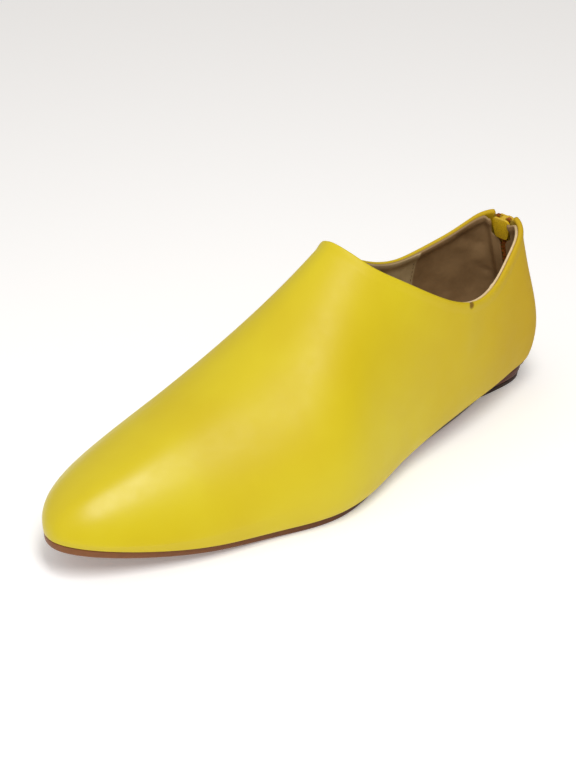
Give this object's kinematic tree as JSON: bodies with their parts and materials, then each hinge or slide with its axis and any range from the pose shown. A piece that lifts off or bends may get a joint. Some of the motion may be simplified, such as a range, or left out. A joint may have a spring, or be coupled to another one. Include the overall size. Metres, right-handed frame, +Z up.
{
  "type": "ankle boot",
  "caption": "Low-cut leather ankle boot for the left foot: closed almond toe, pointed throat, dipped collar, back zip, thin sole and low heel.",
  "frame": {"origin": "on the floor, under the middle of the whole shoe's box", "axes": "+X towards the toe, +Y to the wearer's left, which is the outer side of this left shoe, +Z up"},
  "size_m": [0.258, 0.09, 0.0958],
  "materials": {
    "upper_leather": "smooth, soft sheen",
    "sole": "stained edge, matte",
    "heel": "stained, matte",
    "top_piece": "matte",
    "lining": "matte",
    "tape": "woven",
    "teeth": "satin",
    "slider": "lacquered"
  },
  "bodies": {
    "shoe": {"upper": "upper_leather", "outsole": "sole", "heel_lift": "heel", "heel_top_piece": "top_piece", "insole": "lining", "zip_tape_left": "tape", "zip_tape_right": "tape", "zip_chain": "teeth", "zip_slider": "slider"},
    "zip_pull": {"zip_pull": "slider"}
  },
  "joints": [
    {"name": "zip_pull_swing", "type": "hinge", "parent": "shoe", "child": "zip_pull", "pos_m": [-0.12233, -0.00282, 0.07073], "axis": [0, 1, 0], "range_deg": [0, 165]}
  ]
}
